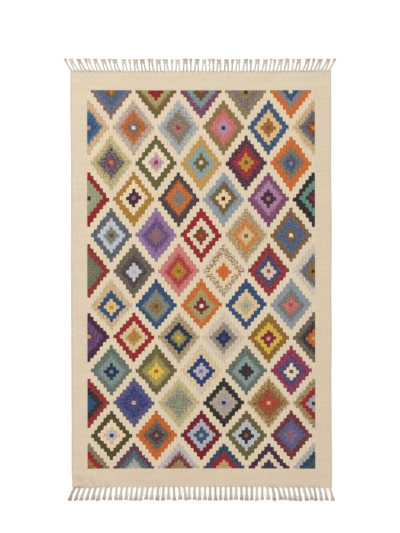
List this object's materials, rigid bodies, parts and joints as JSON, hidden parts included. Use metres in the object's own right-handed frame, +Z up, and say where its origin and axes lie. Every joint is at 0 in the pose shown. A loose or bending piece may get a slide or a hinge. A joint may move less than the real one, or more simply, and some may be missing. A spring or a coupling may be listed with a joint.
{
  "type": "kilim rug",
  "caption": "Flat-woven kilim rug lying flat: a thin oblong cloth with rounded selvedges and, at each short end, a band with a knotted fringe.",
  "frame": {"origin": "centre of the woven body's underside, on the floor it lies on", "axes": "+X across the rug to the right-hand selvedge, +Y along the rug towards the end with the finer fringe, +Z up from the floor"},
  "size_m": [1.5908, 2.5935, 0.008],
  "materials": {
    "weave": "matte slit-woven wool, cream with stepped diamonds in many yarn colours",
    "warp_cord": "matte plied beige warp yarn, knotted, with brushed ends"
  },
  "bodies": {
    "root": {"rug_body": "weave", "fringe_far": "warp_cord", "fringe_near": "warp_cord"}
  },
  "joints": []
}
